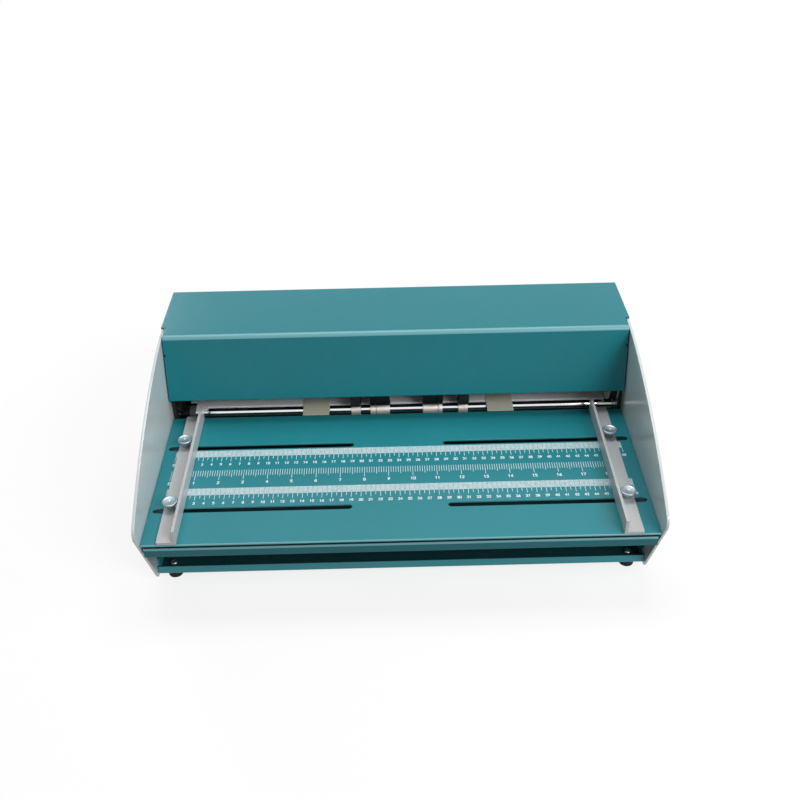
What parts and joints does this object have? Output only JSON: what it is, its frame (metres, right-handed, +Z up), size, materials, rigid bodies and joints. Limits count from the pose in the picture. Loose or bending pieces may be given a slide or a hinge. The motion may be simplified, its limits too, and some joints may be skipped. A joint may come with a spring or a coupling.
{
  "type": "paper creasing machine",
  "caption": "Desktop rotary paper creaser: ruled feed table with sliding side guides, geared shafts carrying creasing wheels over grooved rings, folded sheet-metal hood between side plates",
  "frame": {"origin": "bottom centre of the machine, on the surface it stands on", "axes": "+X along the shafts to the right as the user sees it, +Y from the feeding side to the back, +Z up"},
  "size_m": [0.5174, 0.328, 0.1915],
  "materials": {
    "hood_paint": "gloss",
    "table_paint": "semi-gloss",
    "side_paint": "gloss",
    "panel_paint": "semi-gloss",
    "guide_paint": "satin",
    "zinc_sheet": "zinc plated",
    "frame_paint": "satin",
    "bridge_coat": "satin",
    "ground_steel": "ground and plated",
    "bearing_steel": "ground",
    "black_steel": "blackened",
    "hub_plastic": "satin",
    "rubber": "matt",
    "pulley_plastic": "satin",
    "motor_paint": "satin",
    "can_aluminium": "satin",
    "screw_steel": "zinc plated",
    "thumb_chrome": "polished",
    "black_plastic": "satin",
    "rocker_plastic": "gloss"
  },
  "bodies": {
    "machine": {"hood": "hood_paint", "feed_table": "table_paint", "front_rail": "table_paint", "table_cross_rail": "ground_steel", "base_pan": "table_paint", "rear_panel": "panel_paint", "left_side_plate": "side_paint", "right_side_plate": "side_paint", "left_side_screws": "screw_steel", "right_side_screws": "screw_steel", "front_left_foot": "rubber", "front_right_foot": "rubber", "rear_left_foot": "rubber", "rear_right_foot": "rubber", "foot_screws": "screw_steel", "left_bearing_plate": "frame_paint", "right_bearing_plate": "frame_paint", "upper_left_bearing": "bearing_steel", "upper_right_bearing": "bearing_steel", "lower_left_bearing": "bearing_steel", "lower_right_bearing": "bearing_steel", "upper_tie_bar": "ground_steel", "lower_tie_bar": "ground_steel", "gear_motor": "motor_paint", "motor_bracket": "zinc_sheet", "drive_belt": "rubber", "motor_capacitor": "can_aluminium", "capacitor_nut": "screw_steel", "power_inlet": "black_plastic", "switch_housing": "black_plastic", "exit_guide_plate": "zinc_sheet", "left_bridge_plate": "bridge_coat", "right_bridge_plate": "bridge_coat"},
    "upper_shaft_set": {"upper_shaft": "ground_steel", "upper_gear": "black_steel", "upper_pulley": "pulley_plastic", "left_creasing_wheel": "black_steel", "right_creasing_wheel": "black_steel", "left_feed_hub": "hub_plastic", "right_feed_hub": "hub_plastic", "left_feed_tyre": "rubber", "right_feed_tyre": "rubber"},
    "lower_shaft_set": {"lower_shaft": "ground_steel", "lower_gear": "black_steel", "lower_spacer": "hub_plastic", "left_anvil_ring": "ground_steel", "right_anvil_ring": "ground_steel", "left_feed_ring": "ground_steel", "right_feed_ring": "ground_steel"},
    "motor_shaft_set": {"motor_shaft": "ground_steel", "motor_pulley": "pulley_plastic"},
    "left_guide_set": {"left_side_guide": "guide_paint", "left_clamp_nuts": "screw_steel"},
    "right_guide_set": {"right_side_guide": "guide_paint", "right_clamp_nuts": "screw_steel"},
    "left_front_thumb": {"left_front_thumb_screw": "thumb_chrome"},
    "left_rear_thumb": {"left_rear_thumb_screw": "thumb_chrome"},
    "right_front_thumb": {"right_front_thumb_screw": "thumb_chrome"},
    "right_rear_thumb": {"right_rear_thumb_screw": "thumb_chrome"},
    "power_rocker": {"switch_rocker": "rocker_plastic"}
  },
  "joints": [
    {"name": "upper_shaft_spin", "type": "hinge", "parent": "machine", "child": "upper_shaft_set", "pos_m": [0, 0.0707, 0.1107], "axis": [1, 0, 0], "continuous": true},
    {"name": "lower_shaft_spin", "type": "hinge", "parent": "machine", "child": "lower_shaft_set", "pos_m": [0, 0.0707, 0.0807], "axis": [1, 0, 0], "continuous": true},
    {"name": "motor_shaft_spin", "type": "hinge", "parent": "machine", "child": "motor_shaft_set", "pos_m": [0.2434, 0.1247, 0.139], "axis": [1, 0, 0], "continuous": true},
    {"name": "left_guide_slide", "type": "slide", "parent": "machine", "child": "left_guide_set", "axis": [1, 0, 0], "range_m": [-0.014, 0.178]},
    {"name": "right_guide_slide", "type": "slide", "parent": "machine", "child": "right_guide_set", "axis": [1, 0, 0], "range_m": [-0.176, 0.015]},
    {"name": "left_front_thumb_turn", "type": "hinge", "parent": "left_guide_set", "child": "left_front_thumb", "pos_m": [-0.2303, -0.1068, 0.101], "axis": [0, 0, 1], "range_deg": [0, 360]},
    {"name": "left_rear_thumb_turn", "type": "hinge", "parent": "left_guide_set", "child": "left_rear_thumb", "pos_m": [-0.2303, -0.0058, 0.101], "axis": [0, 0, 1], "range_deg": [0, 360]},
    {"name": "right_front_thumb_turn", "type": "hinge", "parent": "right_guide_set", "child": "right_front_thumb", "pos_m": [0.229, -0.1068, 0.101], "axis": [0, 0, 1], "range_deg": [0, 360]},
    {"name": "right_rear_thumb_turn", "type": "hinge", "parent": "right_guide_set", "child": "right_rear_thumb", "pos_m": [0.229, -0.0058, 0.101], "axis": [0, 0, 1], "range_deg": [0, 360]},
    {"name": "power_rocker_tip", "type": "hinge", "parent": "machine", "child": "power_rocker", "pos_m": [-0.1, 0.1567, 0.047], "axis": [1, 0, 0], "range_deg": [-16, 0]}
  ],
  "couplings": [
    {"joint": "lower_shaft_spin", "follows": "upper_shaft_spin", "ratio": -2.3333},
    {"joint": "motor_shaft_spin", "follows": "upper_shaft_spin", "ratio": 2}
  ]
}
